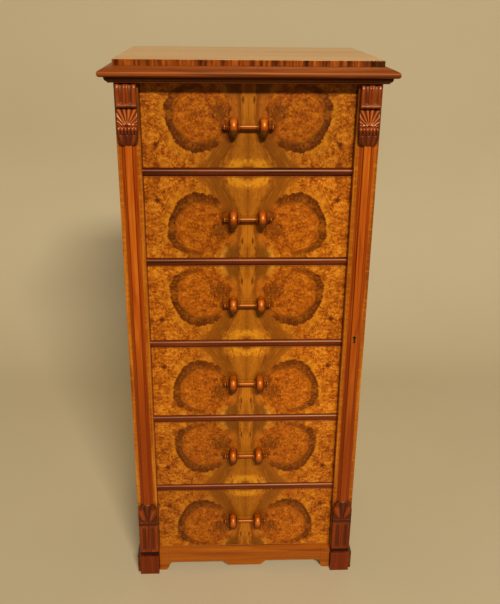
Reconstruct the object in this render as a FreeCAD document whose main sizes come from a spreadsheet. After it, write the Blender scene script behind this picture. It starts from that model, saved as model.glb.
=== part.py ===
import FreeCAD, Part
import os
from types import SimpleNamespace

import Sketcher

# A tall narrow chest: six drawers between two pilasters, the right one hinged to lock over them.
# +X is the chest's right as seen from the front, +Y its back and +Z up.
# The origin is on the floor under the middle of the whole chest. Lengths are millimetres.

SIZES = {
    # carcase
    "chest_height": 1220.0,
    "carcase_width": 517.0,
    "carcase_depth": 364.0,
    "side_thick": 18.0,
    "back_thick": 12.0,
    "tongue_thick": 4.0,
    "tongue_length": 6.0,
    "bottom_thick": 18.0,
    "base_height": 60.0,
    "carcase_top_thick": 18.0,
    "post_depth": 25.0,
    # top board and cornice
    "top_thick": 12.0,
    "cornice_height": 30.0,
    "cornice_width": 26.5,
    "cornice_step": 5.5,
    # dividers, runners and guides
    "divider_thick": 16.0,
    "divider_depth": 60.0,
    "divider_proud": 5.0,
    "end_opening": 168.0,
    "runner_bearing": 21.0,
    "guide_height": 16.0,
    # pilasters
    "stile_width": 46.5,
    "stile_thick": 18.0,
    "stile_gap": 0.5,
    "shut_gap": 0.4,
    "moulding_margin": 8.25,
    "moulding_proud": 8.0,
    "corbel_margin": 3.5,
    "corbel_height": 120.0,
    "corbel_proud": 15.0,
    "corbel_flute_radius": 3.2,
    "corbel_reed_gap": 1.0,
    "foot_margin": 1.0,
    "foot_height": 153.0,
    "foot_proud": 13.0,
    "foot_flute_radius": 2.8,
    # plinth
    "plinth_height": 54.0,
    "block_inset": 1.0,
    "block_proud": 12.5,
    "side_plinth_thick": 7.0,
    "side_plinth_slope": 5.0,
    "side_plinth_lead": 3.0,
    "apron_thick": 17.0,
    "apron_rise": 24.0,
    "apron_slope": 6.0,
    "apron_slope_run": 12.0,
    "drop_width": 80.0,
    "drop_splay": 12.0,
    "drop_depth": 12.0,
    "bracket_width": 23.0,
    "bracket_foot": 15.0,
    "bracket_step": 12.0,
    "bracket_run": 14.0,
    # drawers
    "drawer_gap": 1.0,
    "drawer_top_gap": 1.2,
    "running_gap": 0.3,
    "drawer_rear_gap": 10.0,
    "drawer_front_thick": 20.0,
    "drawer_side_thick": 9.0,
    "drawer_side_drop": 3.0,
    "drawer_back_thick": 9.0,
    "drawer_back_drop": 6.0,
    "drawer_bottom_thick": 6.0,
    "drawer_bottom_rise": 6.0,
    "groove_depth": 4.5,
    "dovetail_lap": 6.0,
    # turned pulls
    "pull_spread": 59.4,
    "pull_reach": 13.0,
    "disc_radius": 20.5,
    "disc_thick": 16.0,
    "disc_round": 6.0,
    "bar_radius": 4.8,
    "collar_radius": 6.6,
    "collar_thick": 3.6,
    "neck_radius": 3.8,
    "neck_length": 3.2,
    "finial_radius": 5.6,
    "finial_length": 8.0,
    "peg_radius": 4.0,
    "peg_fit": 0.1,
    # hinges
    "hinge_length": 60.0,
    "hinge_inset": 110.0,
    "hinge_lock_gap": 45.0,
    "leaf_margin": 4.0,
    "leaf_thick": 1.4,
    "knuckle_radius": 2.4,
    "knuckle_gap": 0.3,
    "axis_offset": 1.0,
    "pin_radius": 1.1,
    "pin_fit": 0.1,
    # screws
    "screw_radius": 1.3,
    "screw_head_radius": 2.6,
    "screw_head_depth": 1.2,
    "screw_margin": 5.0,
    # lock
    "keyhole_height": 642.0,
    "keyhole_radius": 3.0,
    "keyhole_slot": 3.2,
    "keyhole_drop": 12.0,
    "escutcheon_wall": 1.4,
    "escutcheon_depth": 3.0,
    "lock_width": 30.0,
    "lock_height": 60.0,
    "lock_wall": 6.0,
    "lock_flange": 7.0,
    "lock_plate_thick": 1.6,
    "drill_pin_radius": 0.9,
    "bolt_length": 14.0,
    "bolt_thick": 5.0,
    "bolt_height": 6.0,
    "bolt_gap": 0.3,
    "bolt_rest_gap": 0.5,
    "bolt_throw": 7.0,
    "link_margin": 4.0,
    "link_thick": 2.0,
    "link_height": 36.0,
    "tongue_reach": 8.0,
    "tongue_width": 2.5,
    "tongue_height": 14.0,
    "tongue_room": 1.6,
    "overrun": 5.0,
}

DRAWERS = 6
BACK_BOARDS = 4
TAILS = 3
KNUCKLES = 5
tail_root_share = 0.58
tail_tip_share = 0.76
screw_shares = (0.2, 0.8)
link_screw_shares = (-0.36, 0.36)


class Size:
    """A length worked out from the sheet's cells: its expression for the document, and its value."""

    def __init__(self, text, value):
        self.text = text
        self.value = value

    def __add__(self, other):
        other = as_size(other)
        return Size(f"({self.text} + {other.text})", self.value + other.value)

    def __sub__(self, other):
        other = as_size(other)
        return Size(f"({self.text} - {other.text})", self.value - other.value)

    def __mul__(self, share):
        return Size(f"({self.text} * {share})", self.value * share)

    def __truediv__(self, count):
        return Size(f"({self.text} / {count})", self.value / count)

    def __neg__(self):
        return Size(f"(-{self.text})", -self.value)


def as_size(thing):
    return thing if isinstance(thing, Size) else Size(str(thing), thing)


doc = FreeCAD.newDocument("tall_chest")
sheet = doc.addObject("Spreadsheet::Sheet", "Sizes")
for row, (word, millimetres) in enumerate(SIZES.items(), start=1):
    sheet.set(f"A{row}", word)
    sheet.set(f"B{row}", str(millimetres))
    sheet.setAlias(f"B{row}", word)
doc.recompute()
s = SimpleNamespace(**{word: Size(f"Sizes.{word}", value) for word, value in SIZES.items()})
zero = as_size(0)
pieces = []


def node(piece):
    """Mark an object as a finished sub-part, written to a file of its own."""
    pieces.append(piece)
    return piece


def bind(thing, **sizes):
    for word, size in sizes.items():
        thing.setExpression(word, as_size(size).text)
    return thing


def put(thing, x, y, z):
    for axis, size in zip("xyz", (x, y, z)):
        thing.setExpression(f"Placement.Base.{axis}", as_size(size).text)
    return thing


def board(name, x, y, z):
    """A squared board; x, y and z are pairs of where it starts and ends."""
    piece = doc.addObject("Part::Box", name)
    bind(piece, Length=x[1] - x[0], Width=y[1] - y[0], Height=z[1] - z[0])
    return put(piece, x[0], y[0], z[0])


TURNS = {
    "+Y": FreeCAD.Rotation(FreeCAD.Vector(1, 0, 0), -90),
    "-Y": FreeCAD.Rotation(FreeCAD.Vector(1, 0, 0), 90),
    "+Z": FreeCAD.Rotation(),
}


def rod(name, radius, length, direction, x, y, z):
    """A round rod from the point given, along the direction given."""
    piece = doc.addObject("Part::Cylinder", name)
    bind(piece, Radius=radius, Height=length)
    piece.Placement = FreeCAD.Placement(FreeCAD.Vector(), TURNS[direction])
    return put(piece, x, y, z)


def cone(name, start_radius, end_radius, length, direction, x, y, z):
    piece = doc.addObject("Part::Cone", name)
    bind(piece, Radius1=start_radius, Radius2=end_radius, Height=length)
    piece.Placement = FreeCAD.Placement(FreeCAD.Vector(), TURNS[direction])
    return put(piece, x, y, z)


def fuse(name, *things):
    piece = doc.addObject("Part::MultiFuse", name)
    piece.Shapes = list(things)
    return piece


def cut(name, base, *tools):
    piece = doc.addObject("Part::Cut", name)
    piece.Base = base
    piece.Tool = tools[0] if len(tools) == 1 else fuse(name + "_cutter", *tools)
    return piece


def common(name, first, second):
    piece = doc.addObject("Part::Common", name)
    piece.Base = first
    piece.Tool = second
    return piece


def group(name, things):
    """Several separate solids that share one node."""
    piece = doc.addObject("Part::Compound", name)
    piece.Links = list(things)
    return piece


def corner(u, v):
    return SimpleNamespace(u=as_size(u), v=as_size(v), is_bend=False)


def bend(u, v):
    """A point that the arc between the corners before and after it passes through."""
    return SimpleNamespace(u=as_size(u), v=as_size(v), is_bend=True)


def mirrored(outline):
    """The outline's points with u turned over, last point first."""
    return [SimpleNamespace(u=-point.u, v=point.v, is_bend=point.is_bend) for point in reversed(outline)]


def draw(sketch, outline):
    """Draw a closed outline of lines and arcs, each of its points held by two distances."""
    vectors = [FreeCAD.Vector(point.u.value, point.v.value, 0) for point in outline]
    corners = [index for index, point in enumerate(outline) if not point.is_bend]
    held = []
    joins = []
    ends = []
    for first, following in zip(corners, corners[1:] + [len(outline)]):
        last = following % len(outline)
        if following - first > 1:
            edge = sketch.addGeometry(Part.Arc(vectors[first], vectors[first + 1], vectors[last]))
            mark = sketch.addGeometry(Part.Point(vectors[first + 1]), True)
            held.append((mark, 1, outline[first + 1]))
            joins.append(Sketcher.Constraint("PointOnObject", mark, 1, edge))
        else:
            edge = sketch.addGeometry(Part.LineSegment(vectors[first], vectors[last]))
        start_is_first = (sketch.getPoint(edge, 1) - vectors[first]).Length
        end_is_first = (sketch.getPoint(edge, 2) - vectors[first]).Length
        start, end = (1, 2) if start_is_first < end_is_first else (2, 1)
        held.append((edge, start, outline[first]))
        ends.append((edge, start, end))
    for before, after in zip(ends, ends[1:] + ends[:1]):
        joins.append(Sketcher.Constraint("Coincident", before[0], before[2], after[0], after[1]))
    sketch.addConstraint(joins)
    constraints = []
    for edge, end, point in held:
        constraints.append(Sketcher.Constraint("DistanceX", -1, 1, edge, end, point.u.value))
        constraints.append(Sketcher.Constraint("DistanceY", -1, 1, edge, end, point.v.value))
    indices = sketch.addConstraint(constraints)
    sizes = [size for edge, end, point in held for size in (point.u, point.v)]
    for index, size in zip(indices, sizes):
        sketch.setExpression(f"Constraints[{index}]", size.text)


def sketched(name, plane, outline):
    """A body with one sketch on a plane of its own origin."""
    body = doc.addObject("PartDesign::Body", name)
    sketch = body.newObject("Sketcher::SketchObject", name + "_outline")
    origin = next(feature for feature in body.Origin.OriginFeatures if feature.Role == plane)
    sketch.AttachmentSupport = (origin, [""])
    sketch.MapMode = "FlatFace"
    draw(sketch, outline)
    return body, sketch


def padded(name, plane, outline, start, end):
    """A body whose outline is padded from start to end, square to its plane."""
    body, sketch = sketched(name, plane, outline)
    # the XZ plane's normal is -Y, so there the sketch lies at the far end
    offset = -end if plane == "XZ_Plane" else start
    sketch.setExpression("AttachmentOffset.Base.z", as_size(offset).text)
    pad = body.newObject("PartDesign::Pad", name + "_pad")
    pad.Profile = sketch
    bind(pad, Length=end - start)
    return body


def turned(name, outline):
    """A body turned about the X axis of its own origin, its outline drawn above the axis."""
    body, sketch = sketched(name, "XZ_Plane", outline)
    turning = body.newObject("PartDesign::Revolution", name + "_turning")
    turning.Profile = sketch
    turning.ReferenceAxis = (sketch, ["H_Axis"])
    turning.Angle = 360
    return body


# Planes that the pieces share
half_carcase = s.carcase_width / 2
inner_edge = half_carcase - s.stile_width
side_inner = half_carcase - s.side_thick
stile_middle = half_carcase - s.stile_width / 2
rear = (s.carcase_depth + s.stile_thick + s.cornice_step + s.cornice_width) / 2
carcase_front = rear - s.carcase_depth
stile_face = carcase_front - s.stile_thick
cornice_ground = stile_face - s.cornice_step
cornice_tip = cornice_ground - s.cornice_width
back_face = rear - s.back_thick
post_rear = carcase_front + s.post_depth
top_under = s.chest_height - s.top_thick
carcase_top_under = top_under - s.carcase_top_thick
cornice_under = top_under - s.cornice_height
stile_bottom = s.plinth_height + s.stile_gap
stile_top = cornice_under - s.stile_gap
stile_back = carcase_front - s.shut_gap

# Openings of the drawers, counted from the top
all_dividers = s.divider_thick * (DRAWERS - 1)
middle_opening = (cornice_under - s.base_height - all_dividers - s.end_opening * 2) / (DRAWERS - 2)
opening = {}
opening_floor = {}
level = s.base_height
for number in range(DRAWERS, 0, -1):
    opening[number] = s.end_opening if number in (1, DRAWERS) else middle_opening
    opening_floor[number] = level
    level = level + opening[number] + s.divider_thick


def both(reach):
    return (-reach, reach)


def screws(name, places, direction, length):
    """Countersunk screws, each from a point on the face that its head is flush with."""
    made = []
    for count, (x, y, z) in enumerate(places, start=1):
        head = cone(f"{name}_head_{count}", s.screw_head_radius, s.screw_radius,
                    s.screw_head_depth, direction, x, y, z)
        shank = rod(f"{name}_shank_{count}", s.screw_radius, length, direction, x, y, z)
        made.append(fuse(f"{name}_{count}", head, shank))
    return made


# Hinges of the locking stile: their heights, their axis and their screws
lock_reach = s.lock_height / 2 + s.lock_flange
hinge_starts = (
    stile_bottom + s.hinge_inset,
    s.keyhole_height - lock_reach - s.hinge_lock_gap - s.hinge_length,
    stile_top - s.hinge_inset - s.hinge_length,
)
axis_x = half_carcase + s.axis_offset
axis_y = carcase_front - s.shut_gap / 2
leaf_inner = side_inner + s.leaf_margin
leaf_middle = (leaf_inner + half_carcase) / 2
screw_length = s.stile_thick - s.screw_margin
hinge_screw_heights = [start + s.hinge_length * share for start in hinge_starts for share in screw_shares]
fixed_hinge_screws = screws(
    "fixed_hinge_screw", [(leaf_middle, carcase_front, z) for z in hinge_screw_heights], "+Y", screw_length)
moving_hinge_screws = screws(
    "moving_hinge_screw", [(leaf_middle, stile_back, z) for z in hinge_screw_heights], "-Y", screw_length)


def knuckles(name, start, turns, radius, spare):
    """Rods round the hinge axis at the knuckles counted in turns."""
    length = s.hinge_length / KNUCKLES
    return [rod(f"{name}_{turn}", radius, length - s.knuckle_gap + spare * 2, "+Z", axis_x, axis_y,
                start + length * turn + s.knuckle_gap / 2 - spare) for turn in turns]


def hinge(count, start):
    """One butt hinge: the leaf on the carcase, the leaf on the stile, and the pin."""
    end = start + s.hinge_length
    room = s.knuckle_radius + s.knuckle_gap
    bore = rod(f"hinge_bore_{count}", s.pin_radius + s.pin_fit, s.hinge_length, "+Z", axis_x, axis_y, start)
    fixed_plate = board(f"fixed_plate_{count}", (leaf_inner, axis_x),
                        (carcase_front, carcase_front + s.leaf_thick), (start, end))
    moving_plate = board(f"moving_plate_{count}", (leaf_inner, axis_x),
                         (stile_back - s.leaf_thick, stile_back), (start, end))
    outer_turns = range(0, KNUCKLES, 2)
    inner_turns = range(1, KNUCKLES, 2)
    fixed = fuse(f"fixed_leaf_blank_{count}", fixed_plate,
                 *knuckles(f"fixed_knuckle_{count}", start, outer_turns, s.knuckle_radius, zero))
    moving = fuse(f"moving_leaf_blank_{count}", moving_plate,
                  *knuckles(f"moving_knuckle_{count}", start, inner_turns, s.knuckle_radius, zero))
    fixed_leaf = cut(f"fixed_leaf_{count}", fixed, bore, *fixed_hinge_screws,
                     *knuckles(f"fixed_room_{count}", start, inner_turns, room, s.knuckle_gap))
    moving_leaf = cut(f"moving_leaf_{count}", moving, bore, *moving_hinge_screws,
                      *knuckles(f"moving_room_{count}", start, outer_turns, room, s.knuckle_gap))
    pin = rod(f"hinge_pin_{count}", s.pin_radius, s.hinge_length, "+Z", axis_x, axis_y, start)
    recess = rod(f"knuckle_recess_{count}", room, s.hinge_length, "+Z", axis_x, axis_y, start)
    return SimpleNamespace(fixed=fixed_leaf, moving=moving_leaf, pin=pin, recess=recess,
                           fixed_plate=fixed_plate, moving_plate=moving_plate)


hinges = [hinge(count, start) for count, start in enumerate(hinge_starts, start=1)]
node(group("hinge_leaves_fixed", [each.fixed for each in hinges]))
node(group("hinge_leaves_moving", [each.moving for each in hinges]))
node(group("hinge_pins", [each.pin for each in hinges]))

# Link plate on the right post: its tongue enters the lock when the stile shuts
link_left = inner_edge + s.link_margin
link_right = side_inner - s.link_margin
tongue_left = (link_left + link_right) / 2 - s.tongue_width
tongue_right = tongue_left + s.tongue_width
tongue_tip = stile_back - s.tongue_reach
bolt_front = tongue_tip + (s.tongue_reach - s.bolt_thick) / 2
bolt_rear = bolt_front + s.bolt_thick
# the bolt runs above the keyhole
bolt_floor = s.keyhole_height + s.keyhole_radius + s.bolt_height
bolt_top = bolt_floor + s.bolt_height
bolt_middle = (bolt_floor + bolt_top) / 2
bolt_tip = tongue_right + s.tongue_room + s.bolt_rest_gap
bolt_end = bolt_tip + s.bolt_length

link_screws = screws(
    "link_screw",
    [(tongue_left, carcase_front, bolt_middle + s.link_height * share) for share in link_screw_shares],
    "+Y", screw_length)
link_plate = board("link_plate_blank", (link_left, link_right), (carcase_front, carcase_front + s.link_thick),
                   (bolt_middle - s.link_height / 2, bolt_middle + s.link_height / 2))
link_tongue = board("link_tongue", (tongue_left, tongue_right), (tongue_tip, carcase_front),
                    (bolt_middle - s.tongue_height / 2, bolt_middle + s.tongue_height / 2))
bolt_way_depth = (bolt_front - s.bolt_gap, bolt_rear + s.bolt_gap)
bolt_way_height = (bolt_floor - s.bolt_gap, bolt_top + s.bolt_gap)
link_eye = board("link_eye", (tongue_left - s.overrun, tongue_right + s.overrun),
                 bolt_way_depth, bolt_way_height)
node(cut("link_plate", fuse("link_plate_and_tongue", link_plate, link_tongue), link_eye, *link_screws))
node(group("carcase_screws", fixed_hinge_screws + link_screws))

# Carcase
full_depth = (carcase_front, rear)
node(board("side_left", (-half_carcase, -side_inner), full_depth, (zero, carcase_top_under)))
side_blank = board("side_right_blank", (side_inner, half_carcase), full_depth, (zero, carcase_top_under))
node(cut("side_right", side_blank, *fixed_hinge_screws, *[each.fixed_plate for each in hinges],
         *[each.recess for each in hinges]))
node(board("carcase_bottom", both(side_inner), (carcase_front, back_face),
           (s.base_height - s.bottom_thick, s.base_height)))
node(board("carcase_top", both(half_carcase), (cornice_ground, rear), (carcase_top_under, top_under)))
node(board("top_rail", both(half_carcase), (cornice_ground, carcase_front),
           (cornice_under, carcase_top_under)))
post_height = (s.base_height, carcase_top_under)
node(board("post_left", (-side_inner, -inner_edge), (carcase_front, post_rear), post_height))
post_blank = board("post_right_blank", (inner_edge, side_inner), (carcase_front, post_rear), post_height)
node(cut("post_right", post_blank, link_plate, *link_screws))


def back_board(count):
    """One upright of the back, tongued into the next."""
    width = side_inner * 2 / BACK_BOARDS
    left = -side_inner + width * (count - 1)
    right = left + width
    height = (s.base_height - s.bottom_thick, carcase_top_under)
    tongue_front = back_face + (s.back_thick - s.tongue_thick) / 2
    tongue_depth = (tongue_front, tongue_front + s.tongue_thick)
    blank = board(f"back_board_blank_{count}", (left, right), (back_face, rear), height)
    if count < BACK_BOARDS:
        tongue = board(f"back_tongue_{count}", (right, right + s.tongue_length), tongue_depth, height)
        blank = fuse(f"back_tongued_{count}", blank, tongue)
    if count > 1:
        groove = board(f"back_groove_{count}", (left, left + s.tongue_length), tongue_depth, height)
        blank = cut(f"back_board_{count}", blank, groove)
    return blank


node(group("back_boards", [back_board(count) for count in range(1, BACK_BOARDS + 1)]))

# Top board and cornice
node(board("top_board", both(half_carcase), (cornice_ground, rear), (top_under, s.chest_height)))
# outward and upward shares of the cornice's width and height, from its lower back corner
cornice_shares = (
    (corner, 0.0, 0.0), (corner, 0.37, 0.0), (corner, 0.37, 0.07), (bend, 0.51, 0.15), (corner, 0.57, 0.34),
    (corner, 0.87, 0.38), (corner, 0.945, 0.42), (bend, 1.0, 0.57), (corner, 0.945, 0.72),
    (bend, 0.48, 0.905), (corner, 0.0, 1.0),
)


def cornice_section(back, outward):
    return [kind(back + s.cornice_width * (out * outward), cornice_under + s.cornice_height * up)
            for kind, out, up in cornice_shares]


def cornice(name, section_plane, section, length, plan):
    """A length of cornice: its section run out, and its ends mitred by its plan."""
    run = padded(f"{name}_run", section_plane, section, *length)
    mitre = padded(f"{name}_plan", "XY_Plane", [corner(x, y) for x, y in plan], cornice_under, top_under)
    return node(common(name, run, mitre))


cornice_reach = half_carcase + s.cornice_width
cornice("cornice_front", "YZ_Plane", cornice_section(cornice_ground, -1), both(cornice_reach), (
    (-cornice_reach, cornice_tip), (cornice_reach, cornice_tip),
    (half_carcase, cornice_ground), (-half_carcase, cornice_ground)))
for side, hand in (("left", -1), ("right", 1)):
    cornice(f"cornice_{side}", "XZ_Plane", cornice_section(half_carcase * hand, hand), (cornice_tip, rear), (
        (half_carcase * hand, cornice_ground), (half_carcase * hand, rear),
        (cornice_reach * hand, rear), (cornice_reach * hand, cornice_tip)))

# Dividers with a bead along their front edge, and the drawers' runners, kickers and guides
runner_inner = inner_edge - s.runner_bearing
runners = []
guides = []
for number in range(1, DRAWERS + 1):
    floor = opening_floor[number]
    if number < DRAWERS:
        divider_rear = carcase_front + s.divider_depth
        under = floor - s.divider_thick
        node(padded(f"divider_{number}", "YZ_Plane", [
            corner(divider_rear, under), corner(divider_rear, floor), corner(carcase_front, floor),
            bend(carcase_front - s.divider_proud, (under + floor) / 2), corner(carcase_front, under),
        ], *both(inner_edge)))
        runner_span = (divider_rear, back_face)
        runner_height = (under, floor)
    else:
        runner_span = (post_rear, back_face)
        runner_height = (cornice_under, carcase_top_under)
    guide_span = (post_rear, back_face)
    guide_height = (floor, floor + s.guide_height)
    runners.append(board(f"runner_left_{number}", (-side_inner, -runner_inner), runner_span, runner_height))
    runners.append(board(f"runner_right_{number}", (runner_inner, side_inner), runner_span, runner_height))
    guides.append(board(f"guide_left_{number}", (-side_inner, -inner_edge), guide_span, guide_height))
    guides.append(board(f"guide_right_{number}", (inner_edge, side_inner), guide_span, guide_height))
node(group("drawer_runners", runners))
node(group("drawer_guides", guides))

# Pilasters: a stile, its applied moulding, a carved corbel at the top and a carved foot
# across and outward shares of the moulding's width and projection, for its left half
moulding_shares = (
    (corner, -0.5, 0.0), (corner, -0.5, 0.16), (bend, -0.41, 0.26), (corner, -0.365, 0.52),
    (corner, -0.335, 0.52), (bend, -0.29, 0.60), (corner, -0.265, 0.84), (corner, -0.225, 0.84),
    (corner, -0.225, 1.0),
)
# outward and downward shares of the corbel's projection and height
corbel_shares = (
    (corner, 0.0, 0.0), (corner, 0.72, 0.0), (bend, 0.93, 0.025), (corner, 0.97, 0.08), (corner, 0.95, 0.32),
    (bend, 1.0, 0.345), (corner, 0.92, 0.37), (corner, 0.50, 0.385), (bend, 0.50, 0.52), (corner, 0.66, 0.65),
    (corner, 0.56, 0.67), (bend, 1.0, 0.73), (corner, 0.72, 0.81), (bend, 0.46, 0.89), (corner, 0.34, 1.0),
    (corner, 0.0, 1.0),
)
# outward and upward shares of the foot's projection and height
foot_shares = (
    (corner, 0.0, 0.0), (corner, 1.0, 0.0), (corner, 0.96, 0.585), (bend, 1.0, 0.605), (corner, 0.92, 0.625),
    (corner, 0.72, 0.635), (bend, 0.98, 0.76), (corner, 0.42, 1.0), (corner, 0.0, 1.0),
)
# how far up each carving its square lower or upper part reaches before it rounds over
corbel_round_share = 0.86
foot_round_share = 0.87
corbel_flute_shares = (-0.24, 0.24)
foot_flute_shares = (-0.33, -0.11, 0.11, 0.33)
corbel_lip_share = 0.32
foot_lip_share = 0.585


def pilaster(name, hand):
    """The carved and moulded pieces on the face of one stile, and the moulding that runs between them."""
    middle = stile_middle * hand
    face = stile_face
    corbel_half = s.stile_width / 2 - s.corbel_margin
    foot_half = s.stile_width / 2 - s.foot_margin

    corbel_side = padded(f"{name}_corbel_side", "YZ_Plane", [
        kind(face - s.corbel_proud * out, stile_top - s.corbel_height * down)
        for kind, out, down in corbel_shares
    ], middle - corbel_half, middle + corbel_half)
    corbel_round = stile_top - s.corbel_height * corbel_round_share
    corbel_front = padded(f"{name}_corbel_front", "XZ_Plane", [
        corner(middle - corbel_half, corbel_round), bend(middle, stile_top - s.corbel_height),
        corner(middle + corbel_half, corbel_round), corner(middle + corbel_half, stile_top),
        corner(middle - corbel_half, stile_top),
    ], face - s.corbel_proud, face)
    corbel_blank = common(f"{name}_corbel_blank", corbel_side, corbel_front)
    lip = stile_top - s.corbel_height * corbel_lip_share
    flutes = [rod(f"{name}_corbel_flute_{count}", s.corbel_flute_radius, stile_top - lip + s.overrun, "+Z",
                  middle + corbel_half * 2 * share, face - s.corbel_proud, lip)
              for count, share in enumerate(corbel_flute_shares, start=1)]
    flutes.append(rod(f"{name}_corbel_reed_gap", s.corbel_reed_gap, stile_top - lip + s.overrun, "+Z",
                      middle, face - s.corbel_proud, lip))
    corbel = cut(f"{name}_corbel", corbel_blank, *flutes)

    foot_side = padded(f"{name}_foot_side", "YZ_Plane", [
        kind(face - s.foot_proud * out, stile_bottom + s.foot_height * up) for kind, out, up in foot_shares
    ], middle - foot_half, middle + foot_half)
    foot_round = stile_bottom + s.foot_height * foot_round_share
    foot_front = padded(f"{name}_foot_front", "XZ_Plane", [
        corner(middle - foot_half, stile_bottom), corner(middle + foot_half, stile_bottom),
        corner(middle + foot_half, foot_round), bend(middle, stile_bottom + s.foot_height),
        corner(middle - foot_half, foot_round),
    ], face - s.foot_proud, face)
    foot_blank = common(f"{name}_foot_blank", foot_side, foot_front)
    lip_height = s.foot_height * foot_lip_share
    grooves = [rod(f"{name}_foot_flute_{count}", s.foot_flute_radius, lip_height + s.overrun, "+Z",
                   middle + foot_half * 2 * share, face - s.foot_proud, stile_bottom - s.overrun)
               for count, share in enumerate(foot_flute_shares, start=1)]
    foot = cut(f"{name}_foot", foot_blank, *grooves)

    moulding_width = s.stile_width - s.moulding_margin * 2
    half = [kind(middle + moulding_width * across, face - s.moulding_proud * out)
            for kind, across, out in moulding_shares]
    other_half = [kind(middle - moulding_width * across, face - s.moulding_proud * out)
                  for kind, across, out in reversed(moulding_shares)]
    run = padded(f"{name}_moulding_run", "XY_Plane", half + other_half, foot_round, corbel_round)
    moulding = cut(f"{name}_moulding_between", run, corbel_blank, foot_blank)
    return SimpleNamespace(corbel=corbel, foot=foot, moulding=moulding)


left = pilaster("fixed", -1)
node(board("stile_left", (-half_carcase, -inner_edge), (stile_face, carcase_front),
           (stile_bottom, stile_top)))
node(left.corbel).Label = "corbel_left"
node(left.foot).Label = "foot_left"
node(left.moulding).Label = "moulding_left"

# Locking stile, with its lock let into the back and its keyhole through the front
right = pilaster("locking", 1)
moulding_face = stile_face - s.moulding_proud
lock_front = stile_face + s.lock_wall


def keyhole(name, radius, slot, drop, front, back):
    """A keyhole's round head and the slot below it, as one cutter from front to back."""
    head = rod(f"{name}_head", radius, back - front, "+Y", stile_middle, front, s.keyhole_height)
    tail = board(f"{name}_tail", (stile_middle - slot / 2, stile_middle + slot / 2), (front, back),
                 (s.keyhole_height - drop, s.keyhole_height))
    return fuse(name, head, tail)


key_way = keyhole("key_way", s.keyhole_radius, s.keyhole_slot, s.keyhole_drop,
                  moulding_face - s.overrun, lock_front + s.lock_wall)
escutcheon_blank = keyhole("escutcheon_blank", s.keyhole_radius + s.escutcheon_wall,
                           s.keyhole_slot + s.escutcheon_wall * 2, s.keyhole_drop + s.escutcheon_wall,
                           moulding_face, moulding_face + s.escutcheon_depth)
node(cut("escutcheon", escutcheon_blank, key_way))
node(right.corbel).Label = "corbel_right"
node(right.foot).Label = "foot_right"
node(cut("moulding_right", right.moulding, escutcheon_blank, key_way))

lock_left = stile_middle - s.lock_width / 2
lock_right = stile_middle + s.lock_width / 2
lock_floor = s.keyhole_height - s.lock_height / 2
lock_top = s.keyhole_height + s.lock_height / 2
lock_body = board("lock_body", (lock_left, lock_right), (lock_front, stile_back), (lock_floor, lock_top))
lock_plate = board("lock_plate", (lock_left, lock_right), (stile_back - s.lock_plate_thick, stile_back),
                   (lock_floor - s.lock_flange, lock_top + s.lock_flange))
lock_blank = fuse("lock_blank", lock_body, lock_plate)
lock_screws = screws("lock_screw", [
    (stile_middle, stile_back, lock_floor - s.lock_flange / 2),
    (stile_middle, stile_back, lock_top + s.lock_flange / 2)], "-Y", screw_length)
bolt_way = board("bolt_way", (bolt_tip - s.bolt_throw - s.overrun, bolt_end + s.bolt_gap),
                 bolt_way_depth, bolt_way_height)
tongue_way_half = s.tongue_height / 2 + s.tongue_room
tongue_way = board("tongue_way", (tongue_left - s.tongue_room, tongue_right + s.tongue_room),
                   (tongue_tip - s.tongue_room, stile_back + s.overrun),
                   (bolt_middle - tongue_way_half, bolt_middle + tongue_way_half))
drill_pin = rod("drill_pin", s.drill_pin_radius, lock_front + s.lock_wall - stile_face, "+Y",
                stile_middle, stile_face, s.keyhole_height)
lock_bored = cut("lock_bored", lock_blank, bolt_way, tongue_way, key_way, *lock_screws)
node(fuse("lock_case", lock_bored, drill_pin))
node(board("lock_bolt", (bolt_tip, bolt_end), (bolt_front, bolt_rear), (bolt_floor, bolt_top)))
node(group("stile_screws", moving_hinge_screws + lock_screws))
stile_blank = board("locking_stile_blank", (inner_edge, half_carcase), (stile_face, stile_back),
                    (stile_bottom, stile_top))
node(cut("locking_stile", stile_blank, lock_blank, key_way, *lock_screws, *moving_hinge_screws,
         *[each.moving_plate for each in hinges], *[each.recess for each in hinges]))

# Plinth: square blocks under the pilasters, mouldings along the sides, a shaped apron between brackets
block_depth = (stile_face - s.block_proud, carcase_front)
plinth_front = stile_face - s.side_plinth_lead
plinth_outer = half_carcase + s.side_plinth_thick


def in_order(first, second):
    """Two places across the chest, the left one first."""
    return sorted((first, second), key=lambda place: place.value)


for side, hand in (("left", -1), ("right", 1)):
    block_width = in_order((inner_edge + s.block_inset) * hand, half_carcase * hand)
    node(board(f"plinth_block_{side}", block_width, block_depth, (zero, s.plinth_height)))
    node(padded(f"plinth_{side}", "XZ_Plane", [
        corner(half_carcase * hand, zero), corner(plinth_outer * hand, zero),
        corner(plinth_outer * hand, s.plinth_height - s.side_plinth_slope),
        corner(half_carcase * hand, s.plinth_height),
    ], plinth_front, rear))

apron_front = carcase_front - s.apron_thick
apron_section = [
    corner(carcase_front, zero), corner(apron_front, zero),
    corner(apron_front, s.base_height - s.apron_slope),
    corner(apron_front + s.apron_slope_run, s.base_height), corner(carcase_front, s.base_height),
]
bracket_inner = inner_edge - s.bracket_width
sweep_end = bracket_inner - s.bracket_run
bracket_sag_share = 0.3
swell_run_share = 0.65
swell_rise_share = 0.4
drop_half = s.drop_width / 2


def apron_half():
    """The lower edge of the apron's right half, from the bracket to the middle of the drop."""
    return [
        corner(bracket_inner, s.base_height), corner(bracket_inner, s.bracket_step),
        bend(bracket_inner - s.bracket_run * bracket_sag_share,
             s.apron_rise - (s.apron_rise - s.bracket_step) * bracket_sag_share),
        corner(sweep_end, s.apron_rise), corner(drop_half + s.drop_splay, s.apron_rise),
        corner(drop_half, s.apron_rise - s.drop_depth),
    ]


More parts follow.
